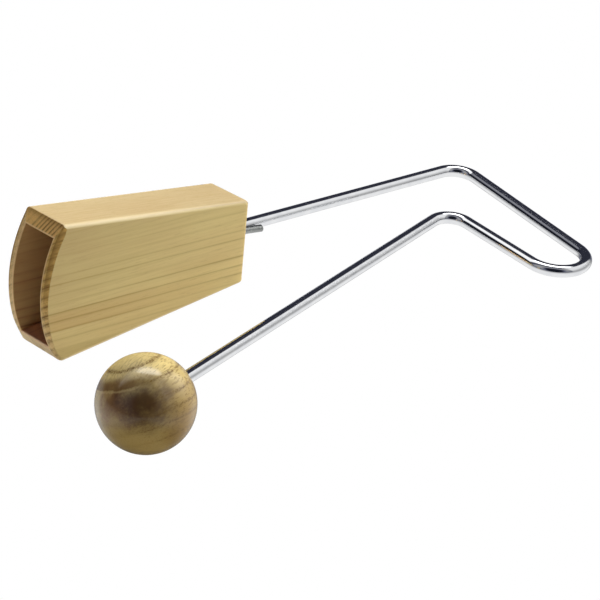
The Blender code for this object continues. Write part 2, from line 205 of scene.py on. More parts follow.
woodNoise = {  # scales along the fibre and across it, detail, and roughness where it isn't 0.5
    "slow": ((9, 60, 60), 2.0),
    "ragged": ((90, 900, 900), 3.0),
    "patch": ((22, 180, 180), 2.0),
    "streak": ((16, 700, 700), 4.0, 0.6),
    "pore": ((130, 2600, 2600), 2.0),
    "cloud": ((14, 40, 40), 2.0),
    "cutFibre": ((60, 1500, 1500), 2.0),
}
woodMasks = {  # noise values between which a mark fades in
    "patch": (0.25, 0.70), "pore": (0.60, 0.72), "cloud": (0.30, 0.70),
    "streak": (0.35, 0.75), "shine": (0.30, 0.80),
    "cutFibre": (0.45, 0.70), "hatch": (0.48, 0.66), "hatchBreak": (0.30, 0.60),
}
alongBox = {  # metres from the narrow end, between which a change eases in
    "narrowRings": (-0.13, -0.03), "warmBand": (-0.13, -0.02),
    "wearHighlight": (-0.085, -0.005), "narrowFace": (-0.006, -0.002),
}
upBox = {  # the same, metres above the box's middle line
    "floorLitEnd": (0.004, -0.028), "bevelShade": (-0.015, 0.020), "endRings": (-0.036, -0.026),
}
ringMargin = 0.004  # of the ramp, past the first and the last ring


def ringLines(tree, across, places, depths, crisp):
    # a ramp that peaks at each ring and is nothing 0.4 of the way to the next,
    # raised to a power for thin lines
    low, high = places[0] - ringMargin, places[-1] + ringMargin
    valleys = [0.6 * at + 0.4 * after for at, after in zip(places, places[1:])]
    marks = [(at, depth ** (1 / crisp)) for at, depth in zip(places, depths)] + [(at, 0.0) for at in valleys]
    stops = [((at - low) / (high - low), grey) for at, grey in sorted(marks)]
    share = times(tree, calc(tree, "SUBTRACT", across, low), 1 / (high - low))
    return calc(tree, "POWER", ramp(tree, share, stops), crisp)


def endGrainTone(tree, look, grain, parts, across, ragged, ring):
    # a cut end: paler towards the bottom by painted light from the floor, with fibre dots, fine hatching, a
    # shaded bevel and the rings' ends
    tall = parts["Z"]
    dots = span(tree, fibreNoise(tree, grain, *woodNoise["cutFibre"]), *woodMasks["cutFibre"])
    inputs = {"W": across, "Scale": look["hatchScale"], "Detail": 1.0}
    hatch = addNode(tree, "ShaderNodeTexNoise", inputs, noise_dimensions="1D").outputs["Fac"]
    hatch = times(tree, span(tree, hatch, *woodMasks["hatch"]), span(tree, ragged, *woodMasks["hatchBreak"]))
    # painted light: the cut end grows paler towards the bottom, as if lit from the floor
    tone = mix(tree, span(tree, tall, *upBox["floorLitEnd"]), look["endLight"], look["endFloorLit"])
    tone = mix(tree, times(tree, dots, look["endDots"]), tone, look["endDark"])
    tone = mix(tree, times(tree, hatch, look["hatch"]), tone, look["endRingTone"])
    shade = span(tree, tall, *upBox["bevelShade"], 0.0, look["bevelShade"])
    tone = mix(tree, times(tree, attribute(tree, "bevel"), shade), tone, look["endDark"])
    endRing = calc(tree, "MULTIPLY", calc(tree, "POWER", ring, 0.5), look["endRing"], True)
    endRing = times(tree, endRing, span(tree, tall, *upBox["endRings"]))
    tone = mix(tree, endRing, tone, look["endRingTone"])
    narrowFace = span(tree, parts["X"], *alongBox["narrowFace"], 0.0, look["narrowShade"])
    return mix(tree, narrowFace, tone, look["endDark"])


def dressFaces(tree, look, parts, colour, endTone):
    # by the board's attributes: worn long edges, paler with a painted highlight, cut ends, the inside, and
    # the inner lip of the mouth, pale like worn wood and partly a painted highlight
    wornHighlight = times(tree, attribute(tree, "wornHighlight"), span(tree, parts["X"], *alongBox["wearHighlight"], *look["wearHighlight"]))
    cut, inside = attribute(tree, "endGrain"), attribute(tree, "inside")
    # painted highlight: the worn pale strip on the long edges also stands for light on the rounding, fading
    # towards the narrow end
    colour = mix(tree, wornHighlight, colour, look["wornHighlightTone"])
    colour = mix(tree, cut, colour, endTone)
    colour = mix(tree, inside, colour, mix(tree, 1.0, colour, look["insideTint"], "MULTIPLY"))
    # the pale inner lip stands partly for worn wood and partly for a painted highlight on the edge
    colour = mix(tree, times(tree, attribute(tree, "lip"), look["lip"]), colour, look["lipTone"])
    return colour, calc(tree, "MAXIMUM", cut, inside)


def woodMaterial(name, look):
    # fibres run along X of the grain's coordinates,
    # and a ring lies wherever ringVector . p passes a listed place
    material, tree, shader = newMaterial(name)
    grain = turnedPlace(tree, look["origin"], look["turn"])
    parts = addNode(tree, "ShaderNodeSeparateXYZ", {0: grain}).outputs
    slow = fibreNoise(tree, grain, *woodNoise["slow"])
    ragged = fibreNoise(tree, grain, *woodNoise["ragged"])
    wobble = plus(tree, swing(tree, slow, look["wobble"]), swing(tree, ragged, look["ragged"]))
    across = plus(tree, dotWith(tree, grain, look["ringVector"]), wobble)
    ring = ringLines(tree, across, look["ringPlaces"], look["ringDepths"], look["crisp"])
    if "narrowDepths" in look:  # lines that fade or deepen towards the narrow end
        narrowRing = ringLines(tree, across, look["ringPlaces"], look["narrowDepths"], look["crisp"])
        ring = mix(tree, span(tree, parts["X"], *alongBox["narrowRings"]), ring, narrowRing)
    patch = fibreNoise(tree, grain, *woodNoise["patch"])
    ring = times(tree, ring, span(tree, patch, *woodMasks["patch"], *look["ringPatch"]))
    streak = fibreNoise(tree, grain, *woodNoise["streak"])
    pore = span(tree, fibreNoise(tree, grain, *woodNoise["pore"]), *woodMasks["pore"])
    cloud = fibreNoise(tree, grain, *woodNoise["cloud"])

    colour = mix(tree, span(tree, cloud, *woodMasks["cloud"]), look["light"], look["warm"])
    colour = mix(tree, span(tree, streak, *woodMasks["streak"], 0.0, look["streak"]), colour, look["dark"])
    # painted light and shade: the colour grows lighter or darker along the board
    lighter = plus(tree, dotWith(tree, grain, look["shadeDrift"]), 1.0)
    drifted = addNode(tree, "ShaderNodeVectorMath", {0: colour, "Scale": lighter}, operation="SCALE")
    colour = drifted.outputs[0]
    if "warmBand" in look:  # a warmer stripe between two rings, fading towards the narrow end
        low, high, soft = look["warmBand"]
        band = times(tree, span(tree, across, low - soft, low), span(tree, across, high, high - soft),
                     span(tree, parts["X"], *alongBox["warmBand"], *look["bandShare"]))
        colour = mix(tree, band, colour, look["bandTone"])
    colour = mix(tree, calc(tree, "MULTIPLY", ring, look["ringDepth"], True), colour, look["ringTone"])
    colour = mix(tree, times(tree, pore, look["pore"]), colour, look["poreTone"])
    smooth, dull = look["roughness"], look["roughness"] + look["streakRough"]
    poreDull = times(tree, pore, look["poreRough"])
    rough = plus(tree, span(tree, streak, *woodMasks["shine"], smooth, dull), poreDull)
    if look["ends"]:
        endTone = endGrainTone(tree, look, grain, parts, across, ragged, ring)
        colour, raw = dressFaces(tree, look, parts, colour, endTone)
        rough = plus(tree, rough, times(tree, raw, look["rawRough"]))
    tree.links.new(colour, shader.inputs["Base Color"])
    tree.links.new(rough, shader.inputs["Roughness"])
    sunk = plus(tree, pore, times(tree, ring, look["ringSink"]))
    height = calc(tree, "SUBTRACT", times(tree, streak, look["streakRise"]), sunk)
    setBump(tree, shader, height, look["bump"], look["bumpDistance"])
    setVarnish(shader, look)
    return material


# sound box: four mitred boards

box = {
    "origin": (-0.002283, 0.061513, 0.024343),  # middle of the narrow end
    "taper": math.radians(6.49),
    "halfWidth": 0.01555,
    "narrowHalf": 0.0245,
    "mouthHalf": 0.032,
    "mouthRadius": 0.0715,
    "mouthCentre": (0.0715 - 0.1391, 0.0012),
    "broadWall": 0.0043,
    "topWall": 0.0080,
    "bottomWall": 0.0100,
    "edge": 0.0021,
    "seam": 0.000002,
    "arcPoints": 7, "broadPoints": 40, "narrowPoints": 30, "lengthPoints": 60,
}


def boxToRow(x, y, z):
    # turn about Y by the taper, then move the narrow end's middle to its place
    c, s = math.cos(box["taper"]), math.sin(box["taper"])
    ox, oy, oz = box["origin"]
    return np.stack([x * c + z * s + ox, y + oy, z * c - x * s + oz], -1)


def cornerArc(thickness, end):
    # part of a quarter circle, the rounded long edge from its mitre to the broad or the narrow face,
    # as (distance from the broad face, distance from the narrow face)
    b, r = box["broadWall"], box["edge"]
    t = r * ((b + thickness) - math.sqrt(2 * b * thickness)) / (b * b + thickness * thickness)
    mitre = math.atan2(r - t * thickness, r - t * b)
    face = 0.0 if end == "broad" else math.pi / 2
    angles = np.linspace(mitre, face, box["arcPoints"])
    angles[0] += box["seam"] / r * np.sign(face - mitre)
    return r - r * np.cos(angles), r - r * np.sin(angles)


def broadSection(sign):
    # front (-1) or back (1) board from bottom to top:
    # its outer and inner line as y, and z as share * half-height + offset
    hw, b, r = box["halfWidth"], box["broadWall"], box["edge"]
    slant, gap = math.cos(box["taper"]), 2 * box["seam"]
    topIn, bottomIn = box["topWall"] / slant + gap, box["bottomWall"] / slant + gap
    aTop, zTop = cornerArc(box["topWall"], "broad")
    aLow, zLow = cornerArc(box["bottomWall"], "broad")
    w = np.linspace(-1, 1, box["broadPoints"] + 2)[1:-1]
    depth = np.concatenate([aLow, np.zeros_like(w), aTop[::-1]])
    share = np.concatenate([-np.ones_like(zLow), w, np.ones_like(zTop)])
    offset = np.concatenate([zLow, -w * r, -zTop[::-1]])
    reach = share * box["mouthHalf"] + offset
    v = (reach - reach[0]) / (reach[-1] - reach[0])
    inner = (np.full_like(v, sign * (hw - b)), 2 * v - 1, (1 - v) * bottomIn - v * topIn)
    fade = np.linspace(0, 1, box["arcPoints"]) ** 0.3
    wornHighlight = np.concatenate([fade[::-1], np.zeros_like(w), fade])
    return (sign * (hw - depth), share, offset), inner, b, wornHighlight


def narrowSection(thick, up):
    # top (1) or bottom (-1) board from front to back, in the same terms
    hw, b, r = box["halfWidth"], box["broadWall"], box["edge"]
    drop = thick / math.cos(box["taper"])
    aEnd, zEnd = cornerArc(thick, "narrow")
    w = np.linspace(-1, 1, box["narrowPoints"] + 2)[1:-1]
    y = np.concatenate([aEnd - hw, w * (hw - r), (hw - aEnd)[::-1]])
    low = np.concatenate([zEnd, np.zeros_like(w), zEnd[::-1]])
    share = np.full_like(y, up)
    v = (y - y[0]) / (y[-1] - y[0])
    inner = ((2 * v - 1) * (hw - b - 2 * box["seam"]), share, np.full_like(y, -up * drop))
    fade = np.linspace(0.3, 1, box["arcPoints"])
    wornHighlight = np.concatenate([fade[::-1], np.zeros_like(w), fade])
    return (y, share, -up * low), inner, drop, wornHighlight


def boardLoop(thick, ends, bevelled):
    # once round a board lengthwise: share of the way to the mouth, set-back from either end, and depth.
    # the outer half runs from the narrow end to the mouth, and the inner half mirrors it point for point
    q = np.linspace(0, math.pi / 2, 6)
    run = np.append(np.linspace(0, 1, box["lengthPoints"])[:-1], (0.998, 1.0))
    cut = np.array((0.0, 0.06, 0.3, 0.55, 0.8, 1.0))  # places across a straight bevel
    rim = np.array((0.06, 0.2, 0.55, 1.0))  # and from the bevel to the halves' meeting line
    meeting = 0.45 * thick
    roundOver = (1 - np.sin(q), 1 - np.cos(q), np.sin(q) ** 2)
    straight = (1 - cut, cut, np.sign(cut))
    startRows, arcRows = 2, len(q) - 1
    start, arc, flat, last = (np.zeros(count) for count in (startRows, arcRows, len(run), len(rim)))

    def half(endEdge, profile):
        setBack, sink, grain = (row[1:] for row in profile)
        share = np.concatenate([start, arc, run, arc + 1, last + 1])
        back = np.concatenate([start, endEdge * (1 - np.cos(q))[:-1], flat + endEdge, arc, last])
        front = np.concatenate([start, arc, flat + 1, setBack, last])
        startDepth = np.linspace(meeting, endEdge, startRows + 1)[:-1]
        depth = np.concatenate([startDepth, endEdge * (1 - np.sin(q))[:-1], flat, arc, meeting * rim])
        bevel = np.concatenate([start, arc, flat, sink, 1 - rim])
        end = np.concatenate([start + 1, np.cos(q)[:-1] ** 2, flat, grain, last + 1])
        corner = np.concatenate([start, arc, flat, np.sin(2 * q)[1:-1], [1.0], ends["lipFade"]])
        return np.stack([share, back, front, depth, bevel, end, corner])

    outer = half(ends["narrow"], straight if bevelled else roundOver)
    inner = half(ends["innerNarrow"], roundOver)
    inside = np.concatenate([start, arc + 1, flat + 1, arc + 1, last])
    loop = np.concatenate([outer, inner[:, ::-1]], 1)
    isInner = np.repeat((0.0, 1.0), outer.shape[1])
    return loop, isInner, np.concatenate([np.zeros_like(inside), inside[::-1]])


def boardPiece(name, section, material, ends):
    # point(i, j) = outer line + depth share * (inner line - outer line),
    # slid along X from the narrow end to the mouth's arc
    (yO, sO, fO), (yI, sI, fI), thick, wornHighlight = section
    width = np.linspace(0, 1, len(yO))  # across the board, from the bottom or front edge to the other
    rounded, isInner, inside = boardLoop(thick, ends, False)
    bevelled = boardLoop(thick, ends, True)[0]
    loop = rounded[:, :, None] + (bevelled - rounded)[:, :, None] * np.interp(width, *ends["straight"])
    share, back, front, depth, bevel, end, corner = loop
    isInner, inside = isInner[:, None], inside[:, None]
    setBack = front * np.where(isInner > 0, ends["lip"], np.interp(width, *ends["setBack"]))
    sunk = depth + bevel * np.where(isInner > 0, ends["lip"], np.interp(width, *ends["mouthDepth"]))
    tau = np.where(isInner > 0, 1 - sunk / thick, sunk / thick)
    y = yO + tau * (yI - yO)
    s, f = sO + tau * (sI - sO), fO + tau * (fI - fO)
    cx, cz = box["mouthCentre"]
    x = np.full(y.shape, -0.06)
    for _ in range(12):  # settles where the widening line meets the arc
        z = s * (box["narrowHalf"] - x * math.tan(box["taper"])) + f
        arc = cx - np.sqrt(box["mouthRadius"] ** 2 - (z - cz) ** 2)
        x = (1 - share) * (-back) + share * (arc + setBack)
    z = s * (box["narrowHalf"] - x * math.tan(box["taper"])) + f
    rows, columns = x.shape
    faces = gridFaces(rows, columns, wrapRows=True)
    k = np.arange(rows // 2 - 1)
    for j in (0, columns - 1):  # the two mitre faces
        faces += (np.stack([k, k + 1, rows - 2 - k, rows - 1 - k], -1) * columns + j).tolist()
    piece = makePiece(name, boxToRow(x, y, z), faces, material)
    onBevel = (1 - isInner) * (end > 0.5) * (share > 0.5) * np.clip(1.25 * bevel - 0.25 * (depth > 0), 0, 1)
    layers = {"endGrain": end, "inside": inside, "lip": isInner * corner, "bevel": onBevel,
              "wornHighlight": np.where((tau < 0.02) & (end < 0.5), wornHighlight[None, :], 0.0)}
    for layer, values in layers.items():
        setAttribute(piece, layer, np.broadcast_to(values, x.shape))
    return piece


def rings(places, depths, full, shift=0.0):
    # places from millimetres to metres, depths as shares of a full line
    shifted = [at * 0.001 + shift for at in places]
    return {"ringPlaces": shifted, "ringDepths": [depth / full for depth in depths]}


ringRise = math.tan(math.radians(1.75))  # of the broad boards' rings along the box
ringTilt = 0.73  # and across it
boxWood = {
    "origin": box["origin"],
    "turn": (0.0, box["taper"], 0.0),
    "ringVector": (ringRise, ringTilt, 1.0),
    "shadeDrift": (0.0, 0.0, 0.0),  # painted light and shade: share lighter per metre
    "wobble": 0.0012, "ragged": 0.0004, "ringDepth": 1.0, "crisp": 4.0, "ringPatch": (0.45, 1.3),
    "light": (0.63, 0.49, 0.185), "warm": (0.60, 0.44, 0.165), "dark": (0.46, 0.32, 0.10),
    "ringTone": (0.33, 0.17, 0.045), "poreTone": (0.28, 0.16, 0.05), "streak": 0.30, "pore": 0.22,
    "wearHighlight": (0.72, 0.22), "wornHighlightTone": (0.86, 0.72, 0.42),  # share at the mouth and at the narrow end
    "ends": True,  # whether it has cut ends, an inside, and worn edges with a painted highlight
    "endLight": (0.64, 0.395, 0.105), "endFloorLit": (0.78, 0.56, 0.24), "endDark": (0.30, 0.16, 0.03),
    "endDots": 0.35, "narrowShade": 0.6, "bevelShade": 0.7, "hatch": 0.55, "hatchScale": 480.0,
    "endRing": 1.0, "endRingTone": (0.15, 0.07, 0.012),
    "insideTint": (0.90, 0.72, 0.74), "lip": 0.8, "lipTone": (0.90, 0.64, 0.30),
    "roughness": 0.40, "streakRough": 0.10, "poreRough": 0.15, "rawRough": 0.35,
    "bump": 0.22, "bumpDistance": 0.0002, "streakRise": 0.5, "ringSink": 0.1,
    "gloss": 0.35, "coat": 0.05, "coatRoughness": 0.2,
}
broadRings = (-38, -32.2, -26.8, -21.6, -16.75, -11.25, -6.1, -0.6, 4.25, 10.0, 15.3, 20.4, 27.2, 32.0, 38)
mouthDepths = (4, 7, 16, 14, 16, 5, 6, 11, 6, 3, 5, 2.5, 3.5, 3, 3)
narrowDepths = (4, 4, 3, 9, 11, 14, 3, 9, 7, 3, 5, 3, 3, 3, 3)
ringsAt = 0.065  # how far from the narrow end the broad boards' rings are placed
frontShift = ringsAt * ringRise - ringTilt * box["halfWidth"] + 0.0016
backShift = 0.0021 - 0.2 * frontShift
frontLook = {
    **boxWood, **rings(broadRings, mouthDepths, 16, frontShift),
    "narrowDepths": [depth / 16 for depth in narrowDepths],
    # painted shade: the front board darker towards its top, lighter towards the narrow end
    "shadeDrift": (1.4, 0.0, -2.6), "light": (0.668, 0.52, 0.196), "warm": (0.636, 0.466, 0.175),
    "crisp": 6.0, "ringPatch": (0.8, 1.2), "ringTone": (0.30, 0.205, 0.035),
    "warmBand": (frontShift - 0.0268, frontShift - 0.01675, 0.001),  # from, to, soft edge
    "bandShare": (0.50, 0.15), "bandTone": (0.48, 0.30, 0.09),
}
backLook = {
    **boxWood, **rings(broadRings, mouthDepths, 20, backShift),
    "endLight": (0.76, 0.52, 0.22), "endFloorLit": (0.82, 0.60, 0.30),
    "bevelShade": 1.0, "hatch": 0.25, "endRing": 0.5,
}
topRings = (2.4, 5.0, 7.8, 10.2, 13.0, 15.4, 18.1, 20.6, 23.6, 27)
topLook = {
    **boxWood, **rings(topRings, (5, 6, 7, 7, 6, 7, 6, 5, 3, 0), 16),
    # painted light: the top board lighter towards the mouth
    "ringVector": (0.004, 1.0, 0.55), "ringDepth": 0.35, "shadeDrift": (-0.6, 0.0, 0.0), "wobble": 0.0008,
    "light": (0.555, 0.423, 0.214), "warm": (0.528, 0.387, 0.187), "dark": (0.437, 0.305, 0.123),
    "endLight": (0.79, 0.475, 0.145), "endRing": 1.6, "endRingTone": (0.17, 0.08, 0.015), "hatch": 0.15,
}
bottomRings = (-14, -8, -3.5, 2, 7.5, 12, 17, 22, 27)
bottomLook = {
    **boxWood, **rings(bottomRings, (5, 6, 4, 6, 5, 4, 5, 6, 5), 14),
    # painted light: the bottom board's cut end, dark tone included, is pale as if lit from the floor, and its
    # inside is lightened
    "ringVector": (0.006, 1.0, -0.4), "endFloorLit": (0.95, 0.74, 0.42), "endDark": (0.72, 0.52, 0.28),
    "hatch": 0.2, "endRing": 0.12, "insideTint": (1.7, 1.3, 2.0),
}

roundEnd = {  # edges in metres; pairs of rows are places across the board and the values there
    "narrow": 0.0021, "innerNarrow": 0.0002,
    "straight": ((0, 1), (0, 0)),  # 0 is rounded over, 1 a straight bevel
    "mouthDepth": ((0, 1), (0.0011, 0.0011)),
    "setBack": ((0, 1), (0.0011, 0.0011)),
    "lip": 0.0005, "lipFade": (1.0, 0.6, 0.0, 0.0),
}
bevelledEnd = {  # widest near the top
    **roundEnd, "straight": ((0.12, 0.25), (0, 1)),
    "mouthDepth": ((0, 0.12, 0.2, 0.85, 1), (0.0026, 0.0018, 0.0010, 0.0016, 0.0004)),
    "setBack": ((0, 0.12, 0.2, 0.5, 0.85, 1), (0.0028, 0.0022, 0.0014, 0.0022, 0.0034, 0.0004)),
    "lip": 0.0006,
}
backEnd = {
    **roundEnd,
    "mouthDepth": ((0, 0.12, 0.25, 0.88, 1), (0.0036, 0.0026, 0.0011, 0.0011, 0.0004)),
    "setBack": ((0, 0.12, 0.25, 0.88, 1), (0.0036, 0.0028, 0.0011, 0.0011, 0.0004)),
}
topEnd = {
    **roundEnd,
    "mouthDepth": ((0, 1), (0.0004, 0.0004)),
    "setBack": ((0, 1), (0.0004, 0.0004)),
    "lipFade": (0.8, 0.0, 0.0, 0.0),
}
bottomEnd = {
    **roundEnd,
    "mouthDepth": ((0, 0.2, 0.85, 1), (0.0026, 0.0040, 0.0040, 0.0036)),
    "setBack": ((0, 0.2, 0.85, 1), (0.0028, 0.0032, 0.0034, 0.0036)),
    "lip": 0.0010,
}
boards = {
    "front_wall": (broadSection(-1.0), frontLook, bevelledEnd),
    "back_wall": (broadSection(1.0), backLook, backEnd),
    "top_wall": (narrowSection(box["topWall"], 1.0), topLook, topEnd),
    "bottom_wall": (narrowSection(box["bottomWall"], -1.0), bottomLook, bottomEnd),
}
for node, (section, look, ends) in boards.items():
    piece = boardPiece(node + "_board", section, woodMaterial(node + "_wood", look), ends)
    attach(piece, "frame")
    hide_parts(node)
print("box boards made")

blockRings = (-20, -16.4, -12.9, -9.1, -5.6, -2, 1.8, 5.2, 9, 12.7, 16.6, 20.5)
blockLook = {
    **boxWood, **rings(blockRings, (5, 6, 5, 7, 6, 5, 6, 7, 5, 6, 6, 5), 9),
    "ends": False, "ringVector": (0.01, 0.5, 1.0), "light": (0.33, 0.24, 0.105), "warm": (0.30, 0.205, 0.09),
    "roughness": 0.55, "coat": 0.0, "pore": 0.5,
}
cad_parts["end_block"].material_slots[0].material = woodMaterial("end_block_wood", blockLook)


# striking ball

ball = {
    "centre": (-0.151017, -0.045524, 0.025000),
    "axis": (0.97573, 0.21298, -0.05102),  # towards the handle
    "radius": 0.025,
    "holeRadius": 0.0038,
    "holeFloor": -0.0053,
    "lip": 0.0005,
    "rows": 90, "sides": 128,
}


def turnedPoints(radii, heights, centre, axis, steps):
    # profile (radius, height) swept round the axis: centre + axis * height + radius * (cos, sin)
    w = np.array(axis) / np.linalg.norm(axis)
    u = np.cross(w, (0.0, 0.0, 1.0) if abs(w[2]) < 0.9 else (1.0, 0.0, 0.0))
    u /= np.linalg.norm(u)
    v = np.cross(w, u)
    turn = np.linspace(0, 2 * math.pi, steps, endpoint=False)
    ring = np.cos(turn)[:, None] * u + np.sin(turn)[:, None] * v
    return np.array(centre) + heights[:, None, None] * w + radii[:, None, None] * ring[None]


def closedTurning(name, radii, heights, centre, axis, steps, material):
    # a turned profile whose first and last circles are small, and capped flat
    points = turnedPoints(radii, heights, centre, axis, steps)
    return makePiece(name, points, tubeFaces(len(radii), steps), material)


ballNoise = {  # scales along the fibre and across it, detail, and roughness where it isn't 0.5
    "slow": ((40, 60, 60), 2.0),
    "ragged": ((500, 700, 700), 2.0),
    "dots": ((800, 1500, 1500), 1.0),
    "dash": ((260, 1150, 1150), 2.0),
    "fibre": ((60, 900, 900), 4.0, 0.6),
    "patchy": ((110, 140, 140), 2.0),
}
ballMasks = {  # noise values between which a mark fades in
    "dots": (0.50, 0.60), "dash": (0.53, 0.61), "fibre": (0.35, 0.75),
    "shine": (0.30, 0.80), "thin": (0.40, 0.56),
}
ballZones = {  # metres from the ball's middle, or from the band, between which a change eases in
    "sap": (0.000, 0.020), "porous": (-0.020, 0.004), "crown": (0.0165, 0.0185),
    "left": (-0.003, 0.006), "paintedShade": (0.0200, 0.0245),
    "bandStart": (0.0, 0.0004), "bandEnd": (0.0058, 0.0022),
    "bandLineStart": (-0.0011, -0.0006), "bandLineEnd": (0.0001, -0.0003),
}
ballLook = {
    "turn": (0.0, 0.0, math.radians(12)),
    "ringVector": (0.058, 0.390, 0.919),
    "rings": (-0.0282, -0.0212, -0.0141, -0.0070, -0.0008, 0.00615, 0.0142, 0.0212),
    "wobble": 0.0022, "ragged": 0.0009, "ringHalf": 0.0011, "thinHalf": 0.00066, "beltHalf": 0.0022,
    "pale": (0.73, 0.57, 0.235), "olive": (0.365, 0.25, 0.076), "pore": (0.15, 0.078, 0.012),
    "stainsAndShade": (  # a ruddy patch, then the dark heart over it: partly the wood's own tone, partly painted shade
        {"tone": (0.24, 0.115, 0.045), "at": (-0.0225, 0.0020, 0.0100),
         "reach": 0.0140, "squeeze": (0.75, 0.85, 1.0)},
        {"tone": (0.072, 0.028, 0.012), "at": (-0.0168, -0.0113, 0.0133),
         "reach": 0.0172, "squeeze": (0.75, 0.8, 1.0)},
    ),
    "shadeStainRagged": 0.008, "shadeStainPatchy": 0.016, "shadeStainCore": 0.003, "shadeStainMost": 0.88,
    "leftward": (-0.564, 0.825, 0.0), "bandAt": 0.0142,
    "band": (0.18, 0.095, 0.03), "bandLine": (0.62, 0.45, 0.20),
    "shadedSide": (-0.055, -0.985, -0.15), "paintedShade": (0.66, 0.58, 0.42),
    "shares": {"fibre": 0.35, "band": 0.8, "bandLine": 0.45, "belt": 0.20, "thin": 0.55, "pits": 0.9},
    "porousShare": (0.25, 1.0), "dashShare": (0.50, 0.30), "thinShare": (0.25, 1.0),
    "roughness": 0.30, "fibreRough": 0.12, "gloss": 0.08, "coat": 1.0, "coatRoughness": 0.11,
    "bump": 0.20, "bumpDistance": 0.0002, "fibreRise": 0.3, "dashSink": 0.35,
}


def stainAndShadeMask(tree, look, stain, grain, fibre, patchy):
    # by the distance from the middle of the stain and painted shade, squeezed to an oval and made ragged by
    # the fibre
    offset = vectorMath(tree, "SUBTRACT", grain, stain["at"])[0]
    oval = vectorMath(tree, "LENGTH", vectorMath(tree, "MULTIPLY", offset, stain["squeeze"])[0])["Value"]
    away = plus(tree, oval, swing(tree, fibre, look["shadeStainRagged"]), swing(tree, patchy, look["shadeStainPatchy"]))
    return span(tree, away, stain["reach"], look["shadeStainCore"], 0.0, look["shadeStainMost"])


def ballMaterial(name, look):
    # growth rings are planes across ringVector; each is a row of dark pores,
    # with fine dashes along the fibre between
    material, tree, shader = newMaterial(name)
    grain = turnedPlace(tree, ball["centre"], look["turn"])
    field = {key: fibreNoise(tree, grain, *scales) for key, scales in ballNoise.items()}
    dots, dash = (span(tree, field[key], *ballMasks[key]) for key in ("dots", "dash"))
    fibre, ragged, shares = field["fibre"], field["ragged"], look["shares"]
    dot = dotWith(tree, grain, look["ringVector"])
    across = plus(tree, dot, swing(tree, field["slow"], look["wobble"]), swing(tree, ragged, look["ragged"]))
    ringsAway = (calc(tree, "ABSOLUTE", calc(tree, "SUBTRACT", across, at)) for at in look["rings"])
    nearest = chain(tree, "MINIMUM", *ringsAway)

    # painted light: paler towards the top of the ball
    colour = mix(tree, span(tree, dot, *ballZones["sap"]), look["olive"], look["pale"])
    colour = mix(tree, span(tree, fibre, *ballMasks["fibre"], 0.0, shares["fibre"]), colour, look["olive"])
    # painted shade: these patches darken the middle and left of the ball's front, over a ruddy tone of the
    # wood
    stainsAndShade = [stainAndShadeMask(tree, look, stain, grain, fibre, field["patchy"]) for stain in look["stainsAndShade"]]
    for mask, stain in zip(stainsAndShade, look["stainsAndShade"]):
        colour = mix(tree, mask, colour, stain["tone"])
    lefter = span(tree, dotWith(tree, grain, look["leftward"]), *ballZones["left"])
    fromBand = calc(tree, "SUBTRACT", across, look["bandAt"])
    for mark in ("band", "bandLine"):  # late wood over one ring, and a pale line under it
        start, end = (span(tree, fromBand, *ballZones[mark + side]) for side in ("Start", "End"))
        colour = mix(tree, times(tree, start, end, lefter, shares[mark]), colour, look[mark])
    clean = calc(tree, "SUBTRACT", 1.0, chain(tree, "MAXIMUM", *stainsAndShade), True)
    porous = times(tree, span(tree, dot, *ballZones["porous"], *look["porousShare"]), clean)
    righter = calc(tree, "SUBTRACT", 1.0, lefter)
    marked = times(tree, calc(tree, "MAXIMUM", righter, span(tree, dot, *ballZones["crown"])), porous)
    belt = times(tree, span(tree, nearest, look["beltHalf"], 0.0), porous, shares["belt"])
    dashes = times(tree, dash, porous, span(tree, lefter, 0.0, 1.0, *look["dashShare"]))
    broken = span(tree, ragged, *ballMasks["thin"], *look["thinShare"])
    thin = times(tree, span(tree, nearest, look["thinHalf"], 0.0), marked, broken, shares["thin"])
    pits = times(tree, span(tree, nearest, look["ringHalf"], 0.0), dots, marked)
    for mask in (belt, dashes, thin, times(tree, pits, shares["pits"])):
        colour = mix(tree, mask, colour, look["pore"])
    paintedShade = span(tree, dotWith(tree, grain, look["shadedSide"]), *ballZones["paintedShade"])
    shadedColour = mix(tree, 1.0, colour, look["paintedShade"], "MULTIPLY")  # painted shade, low on one side
    colour = mix(tree, paintedShade, colour, shadedColour)
    tree.links.new(colour, shader.inputs["Base Color"])
    smooth, dull = look["roughness"], look["roughness"] + look["fibreRough"]
    tree.links.new(span(tree, fibre, *ballMasks["shine"], smooth, dull), shader.inputs["Roughness"])
    sunk = plus(tree, pits, times(tree, dash, look["dashSink"]))
    height = calc(tree, "SUBTRACT", times(tree, fibre, look["fibreRise"]), sunk)
    setBump(tree, shader, height, look["bump"], look["bumpDistance"])
    setVarnish(shader, look)
    return material


def ballPoints():
    # profile from the hole's floor and wall over its lip, then a circle's arc to the far pole
    lipAngle = math.asin((ball["holeRadius"] + ball["lip"]) / ball["radius"])
    sweep = np.linspace(lipAngle, math.pi - 0.01, ball["rows"])
    hole, deep = ball["holeRadius"], ball["holeFloor"]
    radii = np.concatenate([[0.0002, hole, hole], ball["radius"] * np.sin(sweep)])
    mouth = ball["radius"] * math.cos(lipAngle) - ball["lip"]
    return radii, np.concatenate([[deep, deep, mouth], ball["radius"] * np.cos(sweep)])


ballWood = ballMaterial("ball_wood_gloss", ballLook)
ballPiece = closedTurning("ball_turned", *ballPoints(), ball["centre"], ball["axis"], ball["sides"], ballWood)
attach(ballPiece, "ball")
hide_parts("striking_ball")
print("ball made")


# spring rod

